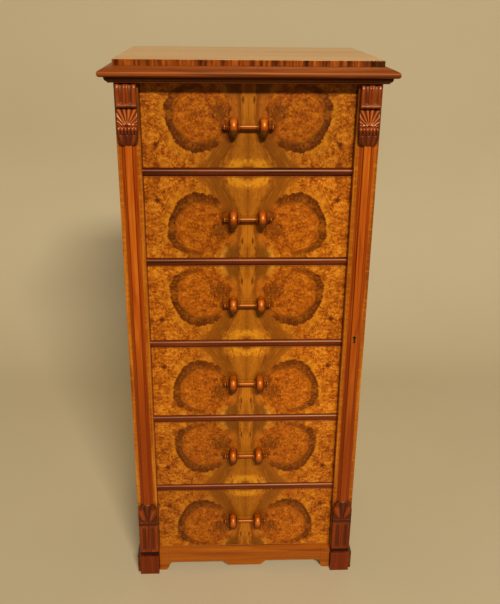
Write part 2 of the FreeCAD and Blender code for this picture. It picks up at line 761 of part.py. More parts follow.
apron_span = (apron_front, carcase_front)
apron_outline = padded("apron_outline", "XZ_Plane", apron_half() + mirrored(apron_half()), *apron_span)
node(common("apron", apron_outline, padded("apron_section", "YZ_Plane", apron_section, *both(bracket_inner))))


def bracket(side, hand):
    """A bracket foot between the apron's end and the plinth block."""
    foot_inner = inner_edge - s.bracket_foot
    swell = foot_inner - (foot_inner - bracket_inner) * swell_run_share
    outline = padded(f"bracket_{side}_outline", "XZ_Plane", [
        corner(inner_edge * hand, zero), corner(inner_edge * hand, s.base_height),
        corner(bracket_inner * hand, s.base_height), corner(bracket_inner * hand, s.bracket_step),
        bend(swell * hand, s.bracket_step * swell_rise_share), corner(foot_inner * hand, zero),
    ], *apron_span)
    section = padded(f"bracket_{side}_section", "YZ_Plane", apron_section,
                     *in_order(inner_edge * hand, bracket_inner * hand))
    return common(f"bracket_{side}", outline, section)


node(group("plinth_brackets", [bracket("left", -1), bracket("right", 1)]))

# Drawers
drawer_half = inner_edge - s.drawer_gap
drawer_rear = back_face - s.drawer_rear_gap
front_inner = carcase_front + s.drawer_front_thick
back_inner = drawer_rear - s.drawer_back_thick
pull_axis = carcase_front - s.pull_reach


def tails(root, tip, low, height):
    """The dovetails up one end of a drawer side."""
    pitch = height / TAILS
    points = []
    for count in range(TAILS):
        middle = low + pitch * count + pitch / 2
        root_half = pitch * (tail_root_share / 2)
        tip_half = pitch * (tail_tip_share / 2)
        points += [corner(root, middle - root_half), corner(tip, middle - tip_half),
                   corner(tip, middle + tip_half), corner(root, middle + root_half)]
    return points


# along and outward shares of the finial's length and radius, past its neck
finial_shares = (
    (bend, 0.38, 1.0), (corner, 0.78, 0.72), (bend, 0.94, 0.45), (corner, 1.0, 0.15), (corner, 1.0, 0.0),
)


def pull_half():
    """The right half of a pull's outline, from the bar out to the tip of its finial."""
    disc_middle = s.pull_spread / 2
    disc_in = disc_middle - s.disc_thick / 2
    disc_out = disc_middle + s.disc_thick / 2
    shoulder = s.disc_radius - s.disc_round
    collar_end = disc_out + s.collar_thick
    neck_end = collar_end + s.neck_length
    return [
        corner(disc_in - s.collar_thick, s.bar_radius), bend(disc_in - s.collar_thick / 2, s.collar_radius),
        corner(disc_in, s.bar_radius), corner(disc_in, shoulder), bend(disc_middle, s.disc_radius),
        corner(disc_out, shoulder), corner(disc_out, s.neck_radius),
        bend(disc_out + s.collar_thick / 2, s.collar_radius), corner(collar_end, s.neck_radius),
        corner(neck_end, s.neck_radius),
        *[kind(neck_end + s.finial_length * along, s.finial_radius * out)
          for kind, along, out in finial_shares],
    ]


def drawer(number):
    """One drawer: a lap-dovetailed front, a box of two sides, back and bottom, and a turned pull."""
    name = f"drawer_{number}"
    low = opening_floor[number] + s.running_gap
    high = opening_floor[number] + opening[number] - s.drawer_top_gap
    side_high = high - s.drawer_side_drop
    side_height = side_high - low
    floor_low = low + s.drawer_bottom_rise
    floor_high = floor_low + s.drawer_bottom_thick

    upward = tails(front_inner, carcase_front + s.dovetail_lap, low, side_height)
    downward = tails(back_inner, drawer_rear, low, side_height)[::-1]
    side_outline = [corner(front_inner, low), *upward, corner(front_inner, side_high),
                    corner(back_inner, side_high), *downward, corner(back_inner, low)]
    left_side = padded(f"{name}_left_blank", "YZ_Plane", side_outline,
                       -drawer_half, -drawer_half + s.drawer_side_thick)
    right_side = padded(f"{name}_right_blank", "YZ_Plane", side_outline,
                        drawer_half - s.drawer_side_thick, drawer_half)
    bottom = board(f"{name}_bottom", both(drawer_half - s.drawer_side_thick + s.groove_depth),
                   (front_inner - s.groove_depth, drawer_rear), (floor_low, floor_high))
    back_blank = board(f"{name}_back_blank", both(drawer_half), (back_inner, drawer_rear),
                       (floor_high, side_high - s.drawer_back_drop))

    middle = (low + high) / 2
    peg_length = front_inner - pull_axis
    pegs = []
    peg_holes = []
    for side, x in zip(("left", "right"), both(s.pull_spread / 2)):
        pegs.append(rod(f"{name}_peg_{side}", s.peg_radius, peg_length, "+Y", x, pull_axis, middle))
        peg_holes.append(rod(f"{name}_peg_hole_{side}", s.peg_radius + s.peg_fit, s.drawer_front_thick, "+Y",
                             x, carcase_front, middle))
    front_blank = board(f"{name}_front_blank", both(drawer_half), (carcase_front, front_inner), (low, high))
    spindle = turned(f"{name}_spindle", pull_half() + mirrored(pull_half()))
    put(spindle, zero, pull_axis, middle)
    # the discs are planed flat behind, to sit on the drawer's front
    node(fuse(f"{name}_pull", cut(f"{name}_seated_spindle", spindle, front_blank), *pegs))

    node(cut(f"{name}_front", front_blank, left_side, right_side, bottom, *peg_holes))
    node(group(f"{name}_box", [
        cut(f"{name}_left", left_side, bottom), cut(f"{name}_right", right_side, bottom),
        cut(f"{name}_back", back_blank, left_side, right_side), bottom]))


for number in range(1, DRAWERS + 1):
    drawer(number)

doc.recompute()
faults = [f"{thing.Label}: {thing.State}" for thing in doc.Objects
          if {"Invalid", "Error"} & set(thing.State)]
faults += [f"{piece.Label}: no valid solid" for piece in pieces
           if piece.Shape.isNull() or not piece.Shape.isValid() or not piece.Shape.Solids]
if faults:
    raise RuntimeError("; ".join(faults))

os.makedirs("parts", exist_ok=True)
for piece in pieces:
    piece.Shape.exportStep(f"parts/{piece.Label}.step")
print(len(pieces), "sub-parts written")
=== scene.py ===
import math

import bmesh
import bpy
from mathutils import Matrix, Vector


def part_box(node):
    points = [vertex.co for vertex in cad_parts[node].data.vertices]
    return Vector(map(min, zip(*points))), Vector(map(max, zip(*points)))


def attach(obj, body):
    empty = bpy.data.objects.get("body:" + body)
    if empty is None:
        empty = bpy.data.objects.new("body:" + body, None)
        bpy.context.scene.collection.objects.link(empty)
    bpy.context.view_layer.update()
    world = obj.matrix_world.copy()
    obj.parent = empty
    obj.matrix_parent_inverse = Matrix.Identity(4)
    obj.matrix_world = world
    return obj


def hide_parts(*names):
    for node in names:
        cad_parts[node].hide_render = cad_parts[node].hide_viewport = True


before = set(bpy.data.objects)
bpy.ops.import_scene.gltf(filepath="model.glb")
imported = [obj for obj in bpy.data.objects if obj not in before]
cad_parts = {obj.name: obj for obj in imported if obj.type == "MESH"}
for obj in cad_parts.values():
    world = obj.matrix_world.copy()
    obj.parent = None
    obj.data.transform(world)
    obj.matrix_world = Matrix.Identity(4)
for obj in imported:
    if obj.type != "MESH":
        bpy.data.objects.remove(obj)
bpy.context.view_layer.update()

MM = 0.001
DRAWERS = range(1, 7)


def tone(red, green, blue):
    """A colour as screens show it, 0 to 255 each, as the shader's own linear one."""
    return tuple((part / 255) ** 2.2 for part in (red, green, blue)) + (1.0,)


# Old shellac polish gives amber glints; bare wood and metal give white ones
AMBER = tone(255, 214, 160)
CLEAR = tone(255, 255, 255)


class Reading:
    """What one socket of a finish gives. Sums of readings and numbers add Math nodes."""

    def __init__(self, finish, socket):
        self.finish = finish
        self.socket = socket

    def maths(self, operation, *operands):
        return self.finish.add("Math", {"operation": operation}, dict(enumerate(operands)))

    def __add__(self, other):
        return self.maths("ADD", self, other)

    def __sub__(self, other):
        return self.maths("SUBTRACT", self, other)

    def __rsub__(self, other):
        return self.maths("SUBTRACT", other, self)

    def __mul__(self, other):
        return self.maths("MULTIPLY", self, other)

    def __truediv__(self, other):
        return self.maths("DIVIDE", self, other)

    def __rtruediv__(self, other):
        return self.maths("DIVIDE", other, self)

    def __pow__(self, other):
        return self.maths("POWER", self, other)

    def __rpow__(self, other):
        return self.maths("POWER", other, self)

    def __neg__(self):
        return self.maths("MULTIPLY", self, -1)

    def __abs__(self):
        return self.maths("ABSOLUTE", self)

    __radd__ = __add__
    __rmul__ = __mul__

    def larger(self, other):
        return self.maths("MAXIMUM", self, other)

    def floor(self):
        return self.maths("FLOOR", self)

    def rise(self, start, end):
        """0 at start and 1 at end, with a smooth rise between them, or a fall where end is less."""
        sockets = {"Value": self, "From Min": start, "From Max": end}
        return self.finish.add("MapRange", {"interpolation_type": "SMOOTHSTEP"}, sockets)


def set_stops(elements, stops):
    """Give a colour ramp its stops, each a place and a colour."""
    while len(elements) < len(stops):
        elements.new(1.0)
    for element, (place, colour) in zip(elements, stops):
        element.position = place
        element.color = colour


class Finish:
    """One material: its shader, and the nodes that feed it."""

    def __init__(self, name):
        self.material = bpy.data.materials.new(name)
        self.material.use_nodes = True
        self.tree = self.material.node_tree
        self.shader = self.tree.nodes["Principled BSDF"]
        self.place = self.add("TexCoord", output="Object")

    def add(self, kind, settings=None, sockets=None, output=0):
        """A node of that kind: its settings are set first, a ramp's stops among them, then its sockets."""
        node = self.tree.nodes.new("ShaderNode" + kind)
        for name, setting in (settings or {}).items():
            if name == "stops":
                set_stops(node.color_ramp.elements, setting)
            else:
                setattr(node, name, setting)
        for name, source in (sockets or {}).items():
            self.feed(node.inputs[name], source)
        return Reading(self, node.outputs[output])

    def feed(self, socket, source):
        """Link a socket to a reading, or set it to a plain value."""
        if isinstance(source, Reading):
            self.tree.links.new(source.socket, socket)
        else:
            socket.default_value = source

    def parts(self, vector):
        """A vector's x, y and z."""
        first = self.add("SeparateXYZ", None, {0: vector})
        return [Reading(self, output) for output in first.socket.node.outputs]

    def vector(self, x, y, z):
        return self.add("CombineXYZ", None, {0: x, 1: y, 2: z})

    def stretch(self, vector, by):
        return self.add("VectorMath", {"operation": "MULTIPLY"}, {0: vector, 1: by})

    def shift(self, vector, by):
        return self.add("VectorMath", {"operation": "ADD"}, {0: vector, 1: by})

    def noise(self, vector, size, detail=2.0, roughness=0.5, swirl=0.0, output=0):
        """Cloudy noise, about 0.5, whose blotches are about the size given, in metres."""
        sockets = {"Vector": vector, "Scale": 1 / size, "Detail": detail,
                   "Roughness": roughness, "Distortion": swirl}
        return self.add("TexNoise", None, sockets, output)

    def cells(self, vector, size):
        """The distance from the nearest of scattered points, in shares of their spacing."""
        return self.add("TexVoronoi", None, {"Vector": vector, "Scale": 1 / size})

    def mix(self, share, first, second):
        """The first colour where the share is 0, the second where it is 1."""
        return self.add("Mix", {"data_type": "RGBA"}, {0: share, 6: first, 7: second}, 2)

    def ramp(self, share, *stops):
        """The colours of the stops, one after the other, as the share grows."""
        return self.add("ValToRGB", {"stops": stops}, {0: share})

    def bump(self, height, depth):
        return self.add("Bump", None, {"Height": height, "Distance": depth, "Strength": 1.0})

    def polish(self, colour, roughness, height=None, depth=0.0, shine=0.4, tint=AMBER, coat=0.0):
        """The surface: its colour and gloss, a little of the grain's relief, and a coat of polish if any."""
        sockets = {"Base Color": colour, "Roughness": roughness, "Specular IOR Level": shine,
                   "Specular Tint": tint, "Coat Weight": coat, "Coat Roughness": 0.12}
        if height is not None:
            sockets["Normal"] = self.bump(height, depth)
        for name, source in sockets.items():
            self.feed(self.shader.inputs[name], source)
        return self.material


# Grain: how broad a band, a fibre and a pore of the wood are, and what share of their length that is
BAND = 22 * MM
BAND_SHARE = 0.05
FIBRE = 2.2 * MM
FIBRE_SHARE = 0.02
PORE = 0.7 * MM
PORE_SHARE = 0.04
# how deep the fibres are, and how dark the pores
FIBRE_RELIEF = 0.12 * MM
PORE_STRENGTH = 0.35
ALONG = {"x": 0, "y": 1, "z": 2}
# boards that the finishes follow: the thickness of a drawer's sides, and how many boards the back has
DRAWER_SIDE = 9 * MM
BACK_BOARDS = 4


def along_grain(finish, along, share, place=None):
    """The surface's places, drawn in along the grain, so that noise on them comes out as streaks."""
    by = [1.0, 1.0, 1.0]
    by[ALONG[along]] = share
    return finish.stretch(place or finish.place, by)


def straight_figure(finish, along, tones, band=BAND, pores=PORE_STRENGTH, place=None):
    """The colour of straight-grained wood, of a dark, a middle and a light tone, and its fibres."""
    dark, middle, light = (tone(*each) for each in tones)
    bands = finish.noise(along_grain(finish, along, BAND_SHARE, place), band, 3.0, 0.55, 0.7)
    fibre = finish.noise(along_grain(finish, along, FIBRE_SHARE, place), FIBRE, 3.0, 0.6)
    pore = finish.noise(along_grain(finish, along, PORE_SHARE, place), PORE, 1.0).rise(0.58, 0.72)
    colour = finish.mix(bands.rise(0.34, 0.5), dark, middle)
    colour = finish.mix(bands.rise(0.5, 0.68), colour, light)
    colour = finish.mix(fibre.rise(0.45, 0.8) * 0.5, colour, dark)
    return finish.mix(pore * pores, colour, dark), fibre


def straight_wood(name, along, tones, band=BAND, gloss=0.34, shine=0.4, tint=AMBER):
    """Straight-grained wood: broad bands, fine fibres and short dark pores along the grain."""
    finish = Finish(name)
    colour, fibre = straight_figure(finish, along, tones, band)
    return finish.polish(colour, fibre * 0.12 + gloss, fibre, FIBRE_RELIEF, shine, tint)


def drawer_lining(tones):
    """The wood of a drawer's box: its sides run from front to back, its back and bottom from side to side."""
    finish = Finish("drawer_lining")
    sides, side_fibre = straight_figure(finish, "y", tones)
    back, back_fibre = straight_figure(finish, "x", tones)
    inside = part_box("drawer_1_box")[1].x - DRAWER_SIDE
    at_side = abs(finish.parts(finish.place)[0]).rise(inside - 0.4 * MM, inside - 0.1 * MM)
    colour = finish.mix(at_side, back, sides)
    fibre = side_fibre * at_side + back_fibre * (1 - at_side)
    return finish.polish(colour, fibre * 0.12 + 0.5, fibre, FIBRE_RELIEF, 0.2, CLEAR)


def boarded_pine(tones):
    """A back of upright pine boards: each has a grain of its own, and the joints between them are dark."""
    finish = Finish("back_pine")
    low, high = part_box("back_boards")
    board = (finish.parts(finish.place)[0] - low.x) / ((high.x - low.x) / BACK_BOARDS)
    number = board.floor()
    place = finish.shift(finish.place, finish.vector(number * 0.37, 0.0, number * 0.81))
    colour, fibre = straight_figure(finish, "z", tones, place=place)
    from_middle = abs(board - number - 0.5)
    colour = finish.mix(from_middle.rise(0.486, 0.496) * 0.8, colour, tone(66, 42, 22))
    return finish.polish(colour, fibre * 0.12 + 0.55, fibre, FIBRE_RELIEF, 0.2, CLEAR)


# Figure of a burr leaf, from the join outwards and from the pull's height upwards
LEAF_STEP = 1.6 * MM
OVAL_ACROSS = 102.5 * MM
OVAL_UP = 33 * MM
OVAL_HALF_WIDTH = 63 * MM
OVAL_BELOW = 87 * MM
OVAL_ABOVE = 48 * MM
BOWL_ACROSS = 52 * MM
BOWL_DOWN = 92 * MM
BOWL_HALF_HEIGHT = 31 * MM
# how much of its red, green and blue the fan keeps
FAN_WARMTH = (0.99, 0.93, 1.0)
# how light the left and the right leaf of each drawer are: the drawers' leaves differ a little in tone, and
# on most the right leaf is painted lighter as painted light, as a turned-over leaf takes the light
# differently
LEAF_TONE_AND_PAINTED_LIGHT = {1: (0.86, 0.86), 2: (0.91, 1.08), 3: (0.99, 1.05),
                  4: (1.02, 1.16), 5: (0.91, 1.03), 6: (0.86, 1.02)}
# dark patches: two clouds beside the pull, the lower one partly the figure and partly a painted shadow of the
# disc, an eye by the join, a knot near the outer edge
LEAF_PATCHES = (
    {"across": 58 * MM, "up": 28 * MM, "wide": 24 * MM, "tall": 19 * MM,
     "ragged": 0.8, "strength": 0.72, "tone": tone(92, 45, 10)},
    {"across": 45 * MM, "up": -4 * MM, "wide": 15 * MM, "tall": 24 * MM,
     "ragged": 0.6, "strength": 0.6, "tone": tone(92, 42, 9)},
    {"across": 11.5 * MM, "up": 50 * MM, "wide": 2.6 * MM, "tall": 11 * MM,
     "ragged": 0.2, "strength": 0.9, "tone": tone(84, 38, 9)},
    {"across": 184 * MM, "up": -37 * MM, "wide": 8 * MM, "tall": 6 * MM,
     "ragged": 0.25, "strength": 0.95, "tone": tone(86, 37, 9)},
)


class BurrLeaf:
    """The book-matched burr veneer of one drawer: two leaves mirrored about the join, and turned over on
    every second drawer. Places on a leaf are across from the join, and up from the pull's height."""

    def __init__(self, number):
        pull_low, pull_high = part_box(f"drawer_{number}_pull")
        finish = self.finish = Finish(f"burr_walnut_{number}")
        self.rightward, _, self.height = finish.parts(finish.place)
        self.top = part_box(f"drawer_{number}_front")[1].z
        self.across = abs(self.rightward)
        self.up = (self.height - (pull_low.z + pull_high.z) / 2) * (1 if number % 2 else -1)
        # leaves cut one after another differ a little, as the next slice lay deeper in the log
        self.depth = LEAF_STEP * number
        self.tone_and_painted_light = LEAF_TONE_AND_PAINTED_LIGHT[number]
        self.leaf = finish.vector(self.across, self.up, self.depth)
        self.curl = finish.noise(self.leaf, 9 * MM, 5.0, 0.6, 1.7)
        self.patchy = finish.noise(self.leaf, 15 * MM, 3.0, 0.6)
        self.mottle = finish.noise(self.leaf, 30 * MM, 2.0, 0.5, 0.6)
        self.fleck = finish.noise(self.leaf, 2.2 * MM, 3.0, 0.65, 0.8)
        self.find_oval()

    def find_oval(self):
        """How far each place is from the oval's middle: 1 at its edge. The oval is wider above than below."""
        finish = self.finish
        sway = finish.shift(finish.noise(self.leaf, 45 * MM, 2.0, output="Color"), (-0.5, -0.5, -0.5))
        self.bent = finish.shift(self.leaf, finish.stretch(sway, (15 * MM, 15 * MM, 0.0)))
        self.bent_across, self.bent_up, _ = finish.parts(self.bent)
        above = self.bent_up - OVAL_UP
        tall = above.rise(-8 * MM, 8 * MM) * (OVAL_ABOVE - OVAL_BELOW) + OVAL_BELOW
        self.oval_across = (self.bent_across - OVAL_ACROSS) / OVAL_HALF_WIDTH
        self.oval_up = above / tall
        self.reach = (self.oval_across * self.oval_across + self.oval_up * self.oval_up) ** 0.5
        self.toward_across = self.oval_across / self.reach
        self.toward_up = self.oval_up / self.reach
        self.spike = self.rays(0.05, 0.3)
        self.edge = (self.reach + (self.spike - 0.5) * 0.09 + (self.patchy - 0.5) * 0.12
                     + (self.curl - 0.5) * 0.06)

    def rays(self, width, drift):
        """Streaks that run outwards from the oval's middle, and change as they go by the drift."""
        toward = self.finish.vector(self.toward_across, self.toward_up, self.reach * drift)
        return self.finish.noise(toward, width, 3.0, 0.6, 0.3)

    def field(self):
        """The pale burr round the oval, streaked outwards from it and palest against it."""
        figure = self.curl * 0.5 + self.rays(0.09, 0.35) * 0.25 + self.mottle * 0.25
        colour = self.finish.ramp(figure, (0.42, tone(120, 57, 12)), (0.47, tone(156, 79, 16)),
                                  (0.53, tone(186, 102, 23)), (0.58, tone(208, 130, 34)))
        near = self.reach.rise(1.3, 1.03) * self.mottle.rise(0.35, 0.6)
        return self.finish.mix(near * 0.5, colour, tone(204, 128, 28))

    def heart(self):
        """The brown burr inside the oval, in curls that run round its middle."""
        curling = self.reach + (self.curl - 0.5) * 0.25
        round_about = self.finish.vector(self.toward_across * 0.2, self.toward_up * 0.2, curling)
        feather = self.finish.noise(round_about, 0.055, 4.0, 0.6)
        figure = feather * 0.4 + self.curl * 0.35 + self.patchy * 0.25
        colour = self.finish.ramp(figure, (0.42, tone(120, 57, 12)), (0.475, tone(152, 75, 14)),
                                  (0.525, tone(174, 89, 17)), (0.575, tone(194, 113, 26)))
        return colour, feather

    def ring(self):
        """The oval's dark rim, broad at its outer side and below, faint above and beside the join."""
        inside = self.edge.rise(1.03, 0.98)
        blurred = self.oval_across.rise(-0.35, -0.85) * self.oval_up.rise(-0.75, -0.35)
        inside = inside + (self.edge.rise(1.35, 0.95) - inside) * blurred
        narrower = self.oval_across.rise(0.3, -0.7) * 0.1
        rim = (self.reach - narrower + (self.patchy - 0.5) * 0.3 + (self.curl - 0.5) * 0.25).rise(0.69, 0.80)
        outer_side = self.oval_across.rise(-0.35, 0.4) * (1 - self.oval_up.rise(0.5, 1.0) * 0.5)
        under_side = self.oval_up.rise(-0.1, -0.6) * self.oval_across.rise(-1.0, -0.35)
        share = inside * rim * (outer_side.larger(under_side) * 0.86 + 0.1)
        figure = self.spike * 0.25 + self.patchy * 0.35 + self.curl * 0.4
        colour = self.finish.ramp(figure, (0.43, tone(76, 35, 8)), (0.50, tone(106, 53, 11)),
                                  (0.57, tone(142, 75, 16)))
        line = inside * self.edge.rise(0.88, 0.97) * under_side
        return inside, share, self.finish.mix(line * 0.6, colour, tone(78, 32, 7))

    def fan(self):
        """The straight grain that spreads from the pull, down and up between the ovals."""
        finish = self.finish
        up = self.up
        spread = (-up).larger(0.0) * 0.8 + (up - 20 * MM).larger(0.0) * 0.35 + 40 * MM
        fan = self.across / spread
        streak = finish.noise(finish.vector(fan * 0.06, up * 0.1, self.depth), 2.4 * MM, 4.0, 0.65, 0.5)
        fan = fan + (streak - 0.5) * 0.35 + (self.patchy - 0.5) * 0.35
        below = finish.ramp(
            fan, (0.05, tone(148, 84, 19)), (0.20, tone(168, 101, 22)), (0.38, tone(156, 90, 20)),
            (0.50, tone(124, 69, 15)), (0.88, tone(144, 81, 17)), (1.0, tone(180, 106, 24)))
        bowl_across = self.across / BOWL_ACROSS
        bowl_up = (up + BOWL_DOWN) / BOWL_HALF_HEIGHT
        bowl = (bowl_across * bowl_across + bowl_up * bowl_up) ** 0.5
        bowl = bowl + (streak - 0.5) * 0.5 + (self.patchy - 0.5) * 0.9 + (self.curl - 0.5) * 0.5
        foot = finish.ramp(
            bowl, (0.2, tone(134, 70, 16)), (0.42, tone(188, 116, 24)), (0.65, tone(212, 142, 31)),
            (0.85, tone(200, 126, 27)), (1.0, tone(176, 104, 22)))
        above = finish.ramp(
            fan, (0.22, tone(180, 108, 24)), (0.36, tone(132, 70, 15)), (0.46, tone(142, 76, 17)),
            (0.56, tone(178, 104, 27)), (0.80, tone(164, 89, 20)))
        head = finish.ramp(
            fan, (0.05, tone(148, 85, 19)), (0.17, tone(184, 110, 25)), (0.30, tone(116, 65, 15)),
            (0.70, tone(126, 73, 17)), (0.84, tone(206, 140, 42)), (1.0, tone(190, 120, 32)))
        colour = finish.mix(bowl.rise(1.3, 0.75), below, foot)
        colour = finish.mix(up.rise(-15 * MM, 25 * MM), colour, above)
        colour = finish.mix(up.rise(48 * MM, 70 * MM), colour, head)
        colour = finish.mix(streak.rise(0.53, 0.68) * 0.6, colour, tone(100, 54, 12))
        colour = finish.mix(streak.rise(0.46, 0.32) * 0.3, colour, tone(202, 132, 38))
        return fan.rise(1.08, 0.85), finish.stretch(colour, FAN_WARMTH)

    def material(self):
        """The whole finish: fan, field and ovals, then their patches, rims, flecks and edges, with painted
        light on the leaves and a painted shadow under the rail above.
        """
        finish = self.finish
        between, fan = self.fan()
        inside, ring, dark_rim = self.ring()
        heart, feather = self.heart()
        colour = finish.mix(between, self.field(), fan)
        colour = finish.mix(inside, colour, heart)
        for patch in LEAF_PATCHES:
            spot_across = (self.bent_across - patch["across"]) / patch["wide"]
            spot_up = (self.bent_up - patch["up"]) / patch["tall"]
            spot = (spot_across * spot_across + spot_up * spot_up) ** 0.5
            ragged = ((self.curl - 0.5) * 1.5 + (feather - 0.5) * 2.5) * patch["ragged"]
            share = (spot + ragged).rise(1.2, 0.3)
            colour = finish.mix(share * patch["strength"], colour, patch["tone"])
        colour = finish.mix(ring, colour, dark_rim)
        colour = finish.mix(self.fleck.rise(0.52, 0.74) * 0.35, colour, tone(108, 50, 10))
        pips = finish.cells(self.bent, 8 * MM).rise(0.24, 0.08) * self.patchy.rise(0.48, 0.62)
        colour = finish.mix(pips * 0.55, colour, tone(88, 40, 9))
        colour = finish.mix(self.across.rise(1.2 * MM, 0.3 * MM) * 0.2, colour, tone(96, 46, 10))
        # painted light: on most drawers the right leaf is painted lighter than the left
        left, right = self.tone_and_painted_light
        colour = finish.mix(self.rightward.rise(-50 * MM, 50 * MM), finish.stretch(colour, [left] * 3),
                            finish.stretch(colour, [right] * 3))
        # painted shadow of the rail above, along the drawer's top edge
        painted_rail_shadow = self.height.rise(self.top - 4.5 * MM, self.top - 1.5 * MM)
        colour = finish.mix(painted_rail_shadow * 0.6, colour, tone(104, 46, 10))
        # the board's edges and back are the plain wood under the veneer
        ground_tones = ((96, 50, 22), (124, 70, 33), (146, 90, 46))
        ground, _ = straight_figure(finish, "x", ground_tones, 20 * MM, 0.3)
        facing = -finish.parts(finish.add("TexCoord", output="Normal"))[1]
        colour = finish.mix(facing.rise(0.4, 0.6), ground, colour)
        return finish.polish(colour, self.curl * 0.14 + 0.3, self.fleck, 0.08 * MM)


def crossbanded_top():
    """The top board: veneer faded by the sun and painted paler for the light from above, and a crossbanding
    of short upright grain along its edge.
    """
    finish = Finish("crossbanded_top")
    # painted light: the flat top is painted pale, partly for the light that falls on it from above
    flat_tones = ((176, 104, 34), (208, 138, 54), (224, 162, 76))
    flat, fibre = straight_figure(finish, "x", flat_tones, 30 * MM, 0.3)
    upright = along_grain(finish, "z", 0.1)
    streak = finish.noise(upright, 5 * MM, 3.0, 0.6)
    group = finish.noise(upright, 20 * MM, 2.0)
    edge = finish.ramp(streak * 0.45 + group * 0.55, (0.38, tone(66, 29, 8)), (0.46, tone(112, 52, 14)),
                       (0.54, tone(148, 72, 21)), (0.63, tone(178, 96, 32)))
    blot = finish.noise(upright, 34 * MM, 1.0)
    edge = finish.mix(blot.rise(0.63, 0.68) * 0.85, edge, tone(34, 18, 7))
    upward = finish.parts(finish.add("TexCoord", output="Normal"))[2]
    colour = finish.mix(upward.rise(0.4, 0.6), edge, flat)
    return finish.polish(colour, fibre * 0.08 + 0.16, fibre, 0.04 * MM, 0.5, AMBER, 0.2)


def rippled_walnut(name, tones):
    """Upright walnut with a ripple: short pale waves across the grain."""
    finish = Finish(name)
    dark, _, light = tones
    colour, fibre = straight_figure(finish, "z", tones, 12 * MM, 0.3)
    ripple = finish.noise(along_grain(finish, "x", 0.3), 7 * MM, 2.0, 0.5, 0.4)
    colour = finish.mix(ripple.rise(0.5, 0.7) * 0.45, colour, tone(*light))
    colour = finish.mix(ripple.rise(0.45, 0.3) * 0.35, colour, tone(*dark))
    # painted shade beside the carvings, which stand proud of the stile
    up = finish.parts(finish.place)[2]
    leaf_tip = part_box("corbel_left")[0].z
    shell_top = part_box("foot_left")[1].z
    beside = up.rise(leaf_tip, leaf_tip + 35 * MM).larger(up.rise(shell_top + 6 * MM, shell_top - 20 * MM))
    colour = finish.mix(beside * 0.75, colour, tone(70, 26, 8))
    return finish.polish(colour, fibre * 0.1 + 0.32, fibre, 0.1 * MM)


def cornice_walnut(name, along):
    """The cornice: warm walnut above, with painted shade in the mouldings under its edge."""
    finish = Finish(name)
    low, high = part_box("cornice_front")
    figure, fibre = straight_figure(finish, along, ((104, 45, 13), (138, 66, 20), (162, 86, 29)))
    up = (finish.parts(finish.place)[2] - low.z) / (high.z - low.z)
    # painted shade: a dark line under the nose, and the mouldings below it dark
    line = up.rise(0.39, 0.42) * up.rise(0.47, 0.44)
    colour = finish.mix(line.larger(up.rise(0.37, 0.33)) * 0.8, figure, tone(52, 17, 5))
    return finish.polish(colour, fibre * 0.12 + 0.38, fibre, 0.1 * MM, 0.3)


def pilaster_moulding(name):
    """The moulding up a pilaster: an orange flat along its middle, dark rounds at each side."""
    finish = Finish(name)
    low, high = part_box("moulding_right")
    middle = (low.x + high.x) / 2
    across, _, up = finish.parts(finish.place)
    from_middle = abs(abs(across) - middle)
    flat_tones = ((146, 62, 15), (175, 81, 20), (196, 101, 28))
    flat, fibre = straight_figure(finish, "z", flat_tones, 12 * MM, 0.25)
    rounds = finish.mix(fibre.rise(0.35, 0.7), tone(134, 50, 9), tone(170, 77, 18))
    colour = finish.mix(from_middle.rise(6.4 * MM, 7.0 * MM), flat, rounds)
    groove = from_middle.rise(6.2 * MM, 7.0 * MM) * from_middle.rise(9.0 * MM, 7.6 * MM)
    colour = finish.mix(groove * 0.6, colour, tone(78, 26, 5))
    # the wood darkens and reddens down the pilaster
    colour = finish.mix(up.rise(0.72, 0.36) * 0.75, colour, tone(122, 45, 8))
    return finish.polish(colour, fibre * 0.1 + 0.28, fibre, 0.06 * MM)


def carved_walnut(name, tones, deep):
    """Carved walnut: darker where the carving is deep, with old polish and painted shade, near black as
    painted shade in the gap under the foot, and paler as a painted highlight on raised ribs.
    """
    finish = Finish(name)
    figure, fibre = straight_figure(finish, "z", tones, 10 * MM, 0.3)
    hollow = finish.add("Attribute", {"attribute_name": "hollow"}, None, "Fac")
    colour = finish.mix(hollow.rise(0.1, 0.8), figure, deep)
    # painted shade: near black in the gap under the foot
    colour = finish.mix(hollow.rise(1.0, 1.6), colour, tone(30, 13, 5))
    # painted highlight: paler on the raised ribs
    colour = finish.mix(hollow.rise(-0.1, -0.8), colour, tone(196, 105, 43))
    return finish.polish(colour, hollow.larger(0.0) * 0.4 + 0.25, fibre, 0.05 * MM, 0.5)


def turned_walnut():
    """Turned walnut: grain along the spindle, with painted shade beside the beads and on the discs' flanks
    and undersides, and a painted highlight in front.
    """
    finish = Finish("turned_walnut")
    tones = ((119, 48, 8), (156, 68, 12), (183, 91, 20))
    figure, fibre = straight_figure(finish, "x", tones, 8 * MM, 0.3)
    hollow = finish.add("Attribute", {"attribute_name": "hollow"}, None, "Fac")
    # painted shade beside the beads and under the discs
    colour = finish.mix(hollow.rise(0.1, 0.9), figure, tone(66, 25, 6))
    # painted highlight at the discs' upper front
    colour = finish.mix(hollow.rise(-0.05, -0.8) * 0.7, colour, tone(208, 104, 28))
    return finish.polish(colour, fibre * 0.08 + 0.33, fibre, 0.015 * MM, 1.0, tone(255, 206, 116))


def metal(name, base, tarnish, roughness):
    """Old metal: worn bright in places and dull in others."""
    finish = Finish(name)
    wear = finish.noise(finish.place, 6 * MM, 4.0, 0.6)
    scratch = finish.noise(along_grain(finish, "z", 0.05), 0.6 * MM, 2.0)
    colour = finish.mix(wear.rise(0.35, 0.65), base, tarnish)
    finish.feed(finish.shader.inputs["Metallic"], 1.0)
    return finish.polish(colour, wear * 0.25 + roughness, scratch, 0.03 * MM, 0.5, CLEAR)


